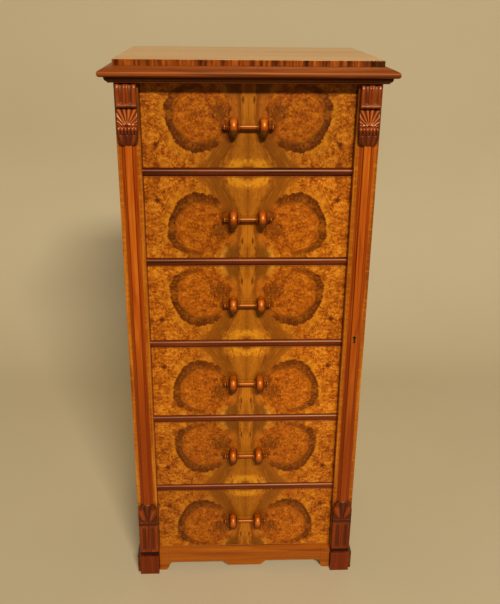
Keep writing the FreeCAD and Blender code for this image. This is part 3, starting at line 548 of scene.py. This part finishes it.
def soften(node, width):
    """Ease a CAD board's sharp edges, as a scraper and polish do."""
    weld = node.modifiers.new("join_faces", "WELD")
    weld.merge_threshold = 0.01 * MM
    bevel = node.modifiers.new("eased_edges", "BEVEL")
    bevel.width = width
    bevel.segments = 2
    bevel.limit_method = "ANGLE"
    bevel.angle_limit = math.radians(40)
    node.modifiers.new("flat_faces", "WEIGHTED_NORMAL")


def coat_node(name, material, eased=0.0):
    """Give a CAD node its finish, and ease its edges by that much where it is more than nothing."""
    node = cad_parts[name]
    node.data.materials.clear()
    node.data.materials.append(material)
    if eased:
        custom = node.data.attributes.get("custom_normal")
        if custom:
            node.data.attributes.remove(custom)
        node.data.shade_smooth()
        soften(node, eased)


def new_piece(name, mesh, material, body, node=None):
    """A modelled piece that rides on a body and, where a CAD node is named, stands for it."""
    mesh.materials.append(material)
    piece = bpy.data.objects.new(name, mesh)
    bpy.context.scene.collection.objects.link(piece)
    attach(piece, body)
    if node:
        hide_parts(node)


def ringed_mesh(name, rings, shade_and_polish_rings, sharp=50):
    """A closed mesh through rings of points, each ring as long as the others, with capped ends."""
    mesh = bpy.data.meshes.new(name)
    shape = bmesh.new()
    made = [[shape.verts.new(point) for point in ring] for ring in rings]
    count = len(rings[0])
    for ring, following in zip(made, made[1:]):
        for here in range(count):
            beside = (here + 1) % count
            shape.faces.new((ring[here], ring[beside], following[beside], following[here]))
    shape.faces.new(reversed(made[0]))
    shape.faces.new(made[-1])
    bmesh.ops.recalc_face_normals(shape, faces=shape.faces)
    shape.to_mesh(mesh)
    shape.free()
    attribute = mesh.attributes.new("hollow", "FLOAT", "POINT")
    attribute.data.foreach_set("value", [depth for ring in shade_and_polish_rings for depth in ring])
    mesh.shade_smooth()
    mesh.set_sharp_from_angle(angle=math.radians(sharp))
    return mesh


def curve_through(points, steps):
    """Places along a smooth curve through the points; a point given twice is a corner."""
    curve = []
    ends = [points[0], *points, points[-1]]
    for before, start, end, after in zip(ends, ends[1:], ends[2:], ends[3:]):
        if start == end:
            continue
        for step in range(steps):
            curve.append(tuple(spline(*values, step / steps) for values in zip(before, start, end, after)))
    curve.append(points[-1])
    return curve


def spline(before, start, end, after, share):
    """One coordinate on the curve from start to end."""
    leave = (end - before) / 2
    arrive = (after - start) / 2
    square = share * share
    cube = square * share
    return ((2 * cube - 3 * square + 1) * start + (cube - 2 * square + share) * leave
            + (3 * square - 2 * cube) * end + (cube - square) * arrive)


def smooth(value, start, end):
    """0 up to start and 1 from end, with a smooth rise between them."""
    share = min(max((value - start) / (end - start), 0.0), 1.0)
    return share * share * (3 - 2 * share)


def window(value, start, end, fade):
    """1 between start and end, fading out past both."""
    return smooth(value, start, start + fade) * (1 - smooth(value, end - fade, end))


def reeds(across, half):
    """How deep the reeded block is cut: two thin reeds in the middle, a flute and a broad reed each side."""
    share = abs(across) / half
    thin_reed, flute = 0.25, 0.63
    if share < thin_reed:
        round_share = (share - thin_reed / 2) / (thin_reed / 2)
        return 0.55 * (1 - math.sqrt(max(1 - round_share ** 2, 0.0)))
    if share < flute:
        round_share = (share - (thin_reed + flute) / 2) / ((flute - thin_reed) / 2)
        return 0.5 + 0.5 * math.sqrt(max(1 - round_share ** 2, 0.0))
    round_share = (share - (flute + 1) / 2) / ((1 - flute) / 2)
    return 0.5 * (1 - math.sqrt(max(1 - round_share ** 2, 0.0)))


def lobes(turn, width):
    """How deep the valleys are between rounded ribs that lie side by side, each of that width."""
    return 1 - abs(math.cos(math.pi * turn / width))


CARVING_COLUMNS = 72
CURVE_STEPS = 7
# where a carving's front starts to round off at the sides, as a share of its half width, and how much it does
EDGE_START = 0.9
EDGE_ROUND = 1.6 * MM
THINNEST = 0.6 * MM
SIDE_HOLLOW = 0.3


def carving(name, low, high, path, outline, relief):
    """A carved block: a side profile run across, drawn in by its outline and cut by its relief.

    path gives (out, up) shares of the projection and height; outline gives the half width's share at an
    up share; relief gives, for a place across and an up share, the depth of the cut and how dark the
    finish is there, with old polish and painted shade."""
    middle = (low.x + high.x) / 2
    half = (high.x - low.x) / 2
    proud = high.y - low.y
    height = high.z - low.z
    rings = []
    shade_and_polish_rings = []
    for out, up in path:
        up = min(max(up, 0.0), 1.0)
        ring = []
        depths = []
        width = half * outline(up)
        z = low.z + height * up
        for column in range(CARVING_COLUMNS + 1):
            side = column / CARVING_COLUMNS * 2 - 1
            across = side * width
            cut, depth = relief(across, half, up, height)
            past_edge = max(abs(side) - EDGE_START, 0.0) / (1 - EDGE_START)
            edge = EDGE_ROUND * (1 - math.sqrt(max(1 - past_edge ** 2, 0.0)))
            front = min(max(proud * out - cut - edge, THINNEST), proud)
            ring.append((middle + across, high.y - front, z))
            depths.append(depth)
        ring = [(middle - width, high.y, z), *ring, (middle + width, high.y, z)]
        rings.append(ring)
        shade_and_polish_rings.append([SIDE_HOLLOW, *depths, SIDE_HOLLOW])
    return ringed_mesh(name, rings, shade_and_polish_rings)


# Side profiles of the carvings, as (out, up) shares; a point given twice is a corner
CORBEL_PATH = (
    # reeded block and its lip
    (0.10, 1.0), (0.10, 1.0), (0.45, 0.997), (0.68, 0.98), (0.84, 0.955), (0.93, 0.925), (0.98, 0.88),
    (0.985, 0.83), (0.95, 0.70), (0.97, 0.665), (1.0, 0.65), (0.98, 0.635), (0.86, 0.622), (0.86, 0.622),
    # shell
    (0.50, 0.605), (0.50, 0.605), (0.49, 0.57), (0.54, 0.49), (0.66, 0.41), (0.80, 0.345), (0.80, 0.345),
    # roll
    (0.64, 0.325), (0.64, 0.325), (0.88, 0.308), (0.99, 0.265), (0.94, 0.22), (0.86, 0.185), (0.86, 0.185),
    # leaf
    (0.84, 0.15), (0.80, 0.10), (0.75, 0.05), (0.66, 0.015), (0.45, 0.003), (0.30, 0.0),
)
FOOT_PATH = (
    # gap over the plinth block
    (0.40, 0.0), (0.40, 0.0), (0.40, 0.086), (0.40, 0.086),
    # reeded block
    (0.98, 0.092), (0.98, 0.092), (1.0, 0.108), (0.985, 0.14), (0.97, 0.58), (0.95, 0.605),
    (0.87, 0.620), (0.87, 0.620),
    # shell
    (0.84, 0.632), (0.86, 0.645), (0.86, 0.645), (0.90, 0.69), (0.95, 0.76), (0.97, 0.84), (0.89, 0.92),
    (0.74, 0.975), (0.40, 0.998), (0.30, 1.0),
)
# up to this share of its height the foot stands back, and leaves a gap over the plinth block, painted near
# black as painted shade
FOOT_GAP = 0.090


def corbel_outline(up):
    """The half width's share: full down to the leaf, which ends in a broad round tip."""
    tip = 0.14
    share = max(tip - up, 0.0) / tip
    return max((1 - share ** 2.6) ** 0.5, 0.12)


def corbel_relief(across, half, up, height):
    """Reeds at the top, a shell with a pearl at its foot, a ribbed roll, and a leaf that runs to the tip."""
    block = window(up, 0.665, 1.06, 0.03)
    shell = window(up, 0.35, 0.615, 0.012)
    roll = window(up, 0.17, 0.325, 0.03)
    leaf = window(up, -0.05, 0.21, 0.03)
    shell_up = (up - 0.335) * height
    rib = math.radians(17)
    shell_turn = math.atan2(across, shell_up + 3 * MM) + rib / 2
    shell_rib = lobes(shell_turn, rib) * smooth(math.hypot(across, shell_up), 2 * MM, 10 * MM)
    roll_rib = lobes(across + half / 6, half / 3)
    leaf_rib = lobes(math.atan2(across, (up + 0.16) * height), math.radians(19))
    pearl_size = 2.4 * MM
    pearl = max(1 - (across ** 2 + ((up - 0.352) * height) ** 2) / pearl_size ** 2, 0.0) ** 0.5
    cut = (2.8 * MM * block * reeds(across, half) + 2.2 * MM * shell * shell_rib + 1.6 * MM * roll * roll_rib
           + 1.5 * MM * leaf * leaf_rib - 2.0 * MM * pearl)
    lip = window(up, 0.62, 0.69, 0.02)
    under_roll = window(up, -0.05, 0.285, 0.03)
    # painted shade in the flutes, the shell's valleys, under the lip and under the roll, and a painted
    # highlight on the shell's ribs
    hollow = (0.55 * block * reeds(across, half) + shell * (1.6 * shell_rib - 0.6) + 0.4 * roll * roll_rib
              + under_roll * (0.45 + 0.3 * leaf * leaf_rib) + 0.4 * lip + window(up, 0.575, 0.635, 0.02))
    return cut, min(hollow, 1.0) * (1 - pearl)


def foot_outline(up):
    """The half width's share: full up to the arched top of the shell."""
    arch = 0.82
    share = max(up - arch, 0.0) / (1 - arch)
    return max((1 - share ** 2.2) ** 0.5, 0.12)


def foot_relief(across, half, up, height):
    """Stopped reeds up the block, and a shell that fans upwards above it."""
    block = window(up, 0.11, 0.59, 0.03)
    shell = window(up, 0.64, 1.2, 0.02)
    shell_up = (up - 0.625) * height
    shell_turn = math.atan2(across, shell_up + 6 * MM)
    shell_rib = lobes(shell_turn, math.radians(15)) * smooth(math.hypot(across, shell_up), 3 * MM, 18 * MM)
    cut = 2.8 * MM * block * reeds(across, half) + 2.0 * MM * shell * shell_rib
    # painted highlight: two of the shell's ribs are painted bright
    from_rib = (abs(shell_turn) - math.radians(20)) / math.radians(7)
    bright = math.exp(-from_rib ** 2) * window(up, 0.68, 0.93, 0.06)
    # painted shade in the flutes, on the shell and on the ledge under it
    hollow = (0.45 * block * reeds(across, half) + shell * (0.35 * shell_rib + 0.35) * (1 - bright)
              + 0.8 * window(up, 0.60, 0.65, 0.015) + 0.12 - 0.5 * bright)
    return cut, 2.0 if up < FOOT_GAP else min(hollow, 1.0)


def carve_pilaster(side, body, corbel_wood, foot_wood):
    """The carved corbel and the carved foot of one pilaster."""
    for part, path, outline, relief, material in (
            ("corbel", CORBEL_PATH, corbel_outline, corbel_relief, corbel_wood),
            ("foot", FOOT_PATH, foot_outline, foot_relief, foot_wood)):
        node = f"{part}_{side}"
        low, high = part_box(node)
        mesh = carving(f"carved_{node}", low, high, curve_through(path, CURVE_STEPS), outline, relief)
        new_piece(f"carved_{node}", mesh, material, body, node)


LATHE_SEGMENTS = 56
# from the middle of a pull: the end of its plain bar, and the middle of a disc, where its peg is
BAR_END = 16 * MM
DISC_MIDDLE = 29.7 * MM
PEG_SEGMENTS = 24
PEG_RADIUS = 4.0 * MM
PEG_COLLAR = 5.2 * MM
PEG_HOLLOW = 0.8


def bead(start, end, base, top, steps):
    """The rounded swelling of a turned bead between two places along the spindle."""
    points = []
    for step in range(steps + 1):
        turn = math.pi * step / steps
        along = (start + end) / 2 - (end - start) / 2 * math.cos(turn)
        points.append((along, base + (top - base) * math.sin(turn)))
    return points


def turned_half():
    """The right half of a pull's profile, as (along, radius), from the middle of the bar to the tip."""
    bar = [(0.0, 4.8), (12.0, 4.6), (16.6, 4.5)]
    collar = [*bead(16.9, 18.5, 5.0, 6.4, 6), (18.7, 5.2), *bead(18.8, 20.3, 6.0, 7.6, 6), (20.4, 8.0)]
    disc = [*bead(20.5, 38.9, 9.8, 20.5, 20), (39.0, 8.0)]
    neck = [*bead(39.1, 40.4, 5.6, 7.2, 6), (40.6, 4.0), (41.7, 3.7)]
    finial = [*bead(41.9, 44.3, 4.0, 5.4, 6), (44.6, 3.5), *bead(45.0, 50.4, 3.4, 5.4, 8)]
    tip = [(51.4, 1.8), (52.0, 0.6)]
    return [(along * MM, size * MM) for along, size in bar + collar + disc + neck + finial + tip]


def turns_round(count):
    """The turns of that many places round a circle."""
    return [math.tau * step / count for step in range(count)]


def pull_painted_light(along, size, turn):
    """How much painted shade a place on a pull has: below none where a painted highlight lightens it."""
    if abs(along) < BAR_END:
        return 0.0
    # painted shade on the narrow necks beside the beads and on the discs' flanks
    narrow = 1 - smooth(size, 3.8 * MM, 6.2 * MM)
    flank = window(size, 7 * MM, 18.3 * MM, 3 * MM)
    # painted shade: the discs are darkest underneath; a painted highlight at their upper front
    underneath = 0.75 * smooth(-math.sin(turn), -0.3, 0.4) * smooth(size, 8 * MM, 12 * MM)
    facing = 0.5 * math.sin(turn) - 0.87 * math.cos(turn)
    painted_highlight = smooth(facing, 0.8, 1.0) * smooth(size, 18 * MM, 20 * MM)
    return max(narrow, flank, underneath) - 0.6 * painted_highlight


def peg_mesh(name, x, centre, front):
    """A peg from a pull into its drawer's front, with a small collar where it goes in."""
    rings = []
    for y, size in ((centre.y, PEG_RADIUS), (front - 2.0 * MM, PEG_RADIUS),
                    (front - 0.2 * MM, PEG_COLLAR), (front + 4.0 * MM, PEG_RADIUS)):
        rings.append([(x + size * math.cos(turn), y, centre.z + size * math.sin(turn))
                      for turn in turns_round(PEG_SEGMENTS)])
    return ringed_mesh(name, rings, [[PEG_HOLLOW] * PEG_SEGMENTS] * len(rings))


def turned_pull(number, material):
    """One turned pull, its spindle across the drawer, and the two pegs that hold it."""
    low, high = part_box(f"drawer_{number}_pull")
    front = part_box(f"drawer_{number}_front")[0].y
    radius = (high.z - low.z) / 2
    centre = Vector(((low.x + high.x) / 2, low.y + radius, (low.z + high.z) / 2))
    half = turned_half()
    profile = [(-along, size) for along, size in reversed(half[1:])] + half
    turns = turns_round(LATHE_SEGMENTS)
    rings = []
    shade_and_polish_rings = []
    for along, size in profile:
        # the discs are planed flat where they sit on the drawer's front
        rings.append([(centre.x + along, min(centre.y + size * math.cos(turn), front),
                       centre.z + size * math.sin(turn)) for turn in turns])
        shade_and_polish_rings.append([pull_painted_light(along, size, turn) for turn in turns])
    name = f"turned_pull_{number}"
    body = f"drawer_{number}"
    mesh = ringed_mesh(name, rings, shade_and_polish_rings, sharp=60)
    new_piece(name, mesh, material, body, f"drawer_{number}_pull")
    for side, x in (("left", -DISC_MIDDLE), ("right", DISC_MIDDLE)):
        name = f"pull_peg_{number}_{side}"
        new_piece(name, peg_mesh(name, x, centre, front), material, body)


# Finishes of the CAD nodes
cornice_length = cornice_walnut("cornice_walnut_long", "x")
cornice_return = cornice_walnut("cornice_walnut_short", "y")
rail_walnut = straight_wood("rail_walnut", "x", ((66, 20, 5), (96, 34, 9), (120, 50, 15)), gloss=0.28)
plinth_walnut = straight_wood("plinth_walnut", "x", ((120, 54, 12), (156, 80, 18), (182, 102, 27)))
# painted shade: a darker copy of the plinth's walnut, for the side plinths
shaded_plinth_return = straight_wood("shaded_plinth_return_walnut", "y", ((66, 31, 9), (88, 44, 13), (106, 56, 19)))
block_walnut = straight_wood("block_walnut", "z", ((82, 27, 8), (103, 36, 10), (118, 47, 14)))
stile_walnut = rippled_walnut("stile_walnut", ((132, 62, 13), (166, 88, 19), (198, 119, 33)))
side_walnut = straight_wood("side_walnut", "z", ((110, 54, 16), (144, 76, 24), (172, 102, 38)), band=35 * MM)
lining = drawer_lining(((146, 98, 54), (176, 126, 74), (196, 150, 96)))
pine = straight_wood("aged_pine", "z", ((150, 104, 58), (186, 140, 88), (204, 162, 108)),
                     gloss=0.55, shine=0.2, tint=CLEAR)
brass = metal("aged_brass", tone(196, 160, 84), tone(120, 88, 40), 0.28)
steel = metal("dull_steel", tone(150, 146, 140), tone(84, 78, 72), 0.34)

coat_node("top_board", crossbanded_top(), 0.8 * MM)
coat_node("cornice_front", cornice_length, 0.4 * MM)
coat_node("apron", plinth_walnut, 0.6 * MM)
coat_node("plinth_brackets", plinth_walnut, 0.6 * MM)
coat_node("stile_left", stile_walnut, 0.6 * MM)
coat_node("locking_stile", stile_walnut, 0.6 * MM)
for side in ("left", "right"):
    coat_node(f"cornice_{side}", cornice_return, 0.4 * MM)
    coat_node(f"side_{side}", side_walnut, 0.6 * MM)
    coat_node(f"plinth_{side}", shaded_plinth_return, 0.8 * MM)
    coat_node(f"plinth_block_{side}", block_walnut, 0.8 * MM)
    coat_node(f"moulding_{side}", pilaster_moulding(f"pilaster_moulding_{side}"), 0.3 * MM)
    coat_node(f"post_{side}", pine)
for number in DRAWERS:
    coat_node(f"drawer_{number}_front", BurrLeaf(number).material(), 0.5 * MM)
    coat_node(f"drawer_{number}_box", lining)
# a rail under each drawer but the lowest
for number in DRAWERS[:-1]:
    coat_node(f"divider_{number}", rail_walnut)
coat_node("back_boards", boarded_pine(((146, 100, 56), (182, 136, 85), (202, 160, 106))))
for name in ("carcase_top", "carcase_bottom", "top_rail", "drawer_runners", "drawer_guides"):
    coat_node(name, pine)
for name in ("hinge_leaves_fixed", "hinge_leaves_moving", "link_plate", "escutcheon"):
    coat_node(name, brass)
for name in ("hinge_pins", "carcase_screws", "stile_screws", "lock_case", "lock_bolt"):
    coat_node(name, steel)

# Modelled pieces
corbel_walnut = carved_walnut("corbel_walnut", ((106, 41, 14), (140, 61, 23), (167, 84, 34)), tone(70, 26, 8))
foot_walnut = carved_walnut("foot_walnut", ((91, 31, 9), (117, 44, 13), (141, 60, 20)), tone(62, 21, 6))
carve_pilaster("left", "carcase", corbel_walnut, foot_walnut)
carve_pilaster("right", "stile", corbel_walnut, foot_walnut)
turned = turned_walnut()
for number in DRAWERS:
    turned_pull(number, turned)


# Studio: floor, lights and camera
def pale_floor():
    """A pale floor that sweeps up behind."""
    finish = Finish("pale_floor")
    cloud = finish.noise(finish.place, 0.5, 3.0)
    pale = finish.mix(cloud, tone(190, 172, 134), tone(196, 179, 142))
    # the floor grows darker toward the lamp, so that it throws little light up at the front
    forward = -finish.parts(finish.place)[1]
    colour = finish.mix(forward.rise(0.8, 2.0), pale, tone(64, 56, 44))
    finish.feed(finish.shader.inputs["Base Color"], colour)
    finish.feed(finish.shader.inputs["Roughness"], 0.85)
    # the sweep has one side only: from behind, the chest is seen through it
    behind = finish.add("NewGeometry", output="Backfacing")
    surface = Reading(finish, finish.shader.outputs[0])
    one_sided = finish.add("MixShader", None, {0: behind, 1: surface, 2: finish.add("BsdfTransparent")})
    finish.feed(finish.tree.nodes["Material Output"].inputs["Surface"], one_sided)
    width, near, back = 8.0, -6.0, 1.6
    rise, radius, steps = 3.2, 0.8, 16
    profile = [(near, 0.0), (back - radius, 0.0)]
    for step in range(1, steps + 1):
        turn = math.pi / 2 * step / steps
        profile.append((back - radius + radius * math.sin(turn), radius - radius * math.cos(turn)))
    profile.append((back, rise))
    mesh = bpy.data.meshes.new("sweep")
    points = [(x, y, z) for y, z in profile for x in (-width / 2, width / 2)]
    faces = [(2 * row, 2 * row + 1, 2 * row + 3, 2 * row + 2) for row in range(len(profile) - 1)]
    mesh.from_pydata(points, [], faces)
    mesh.shade_smooth()
    mesh.materials.append(finish.material)
    sweep = bpy.data.objects.new("sweep", mesh)
    bpy.context.scene.collection.objects.link(sweep)


def key_lamp():
    """A broad lamp above the front, a little to the right."""
    lamp = bpy.data.lights.new("key", "AREA")
    lamp.shape = "RECTANGLE"
    lamp.size = 2.4
    lamp.size_y = 0.6
    lamp.energy = 555
    lamp.color = (1.0, 0.95, 0.87)
    key = bpy.data.objects.new("key", lamp)
    aim = Vector((0.0, -0.16, 0.7))
    turn, lift, distance = math.radians(9), math.radians(37), 7.0
    toward = Vector((math.sin(turn) * math.cos(lift), -math.cos(turn) * math.cos(lift), math.sin(lift)))
    key.location = aim + toward * distance
    key.rotation_euler = (-toward).to_track_quat("-Z", "Y").to_euler()
    bpy.context.scene.collection.objects.link(key)


def soft_light():
    """A dim, warm, even light all round."""
    world = bpy.data.worlds.new("soft_light")
    world.use_nodes = True
    background = world.node_tree.nodes["Background"]
    background.inputs["Color"].default_value = (1.0, 0.88, 0.76, 1.0)
    background.inputs["Strength"].default_value = 0.125
    bpy.context.scene.world = world


def camera():
    """The camera: a little left of the middle and above the top, looking down at the chest."""
    picture_height = 604
    focal_pixels = 742.0
    tilt, yaw, roll = 0.3904, 0.0433, 0.0105
    level = Vector((math.sin(yaw), math.cos(yaw), 0.0))
    upright = Vector((0.0, 0.0, 1.0))
    right = Vector((math.cos(yaw), -math.sin(yaw), 0.0))
    forward = level * math.cos(tilt) - upright * math.sin(tilt)
    top = upright * math.cos(tilt) + level * math.sin(tilt)
    side = right * math.cos(roll) + top * math.sin(roll)
    top = top * math.cos(roll) - right * math.sin(roll)
    data = bpy.data.cameras.new("camera")
    data.sensor_width = 36.0
    data.lens = focal_pixels * data.sensor_width / picture_height
    eye = bpy.data.objects.new("camera", data)
    stand = Matrix.Translation((-0.0578, -1.6445, 1.3299))
    eye.matrix_world = stand @ Matrix((side, top, -forward)).transposed().to_4x4()
    bpy.context.scene.collection.objects.link(eye)
    bpy.context.scene.camera = eye


pale_floor()
key_lamp()
soft_light()
camera()
bpy.context.scene.view_settings.view_transform = "Standard"
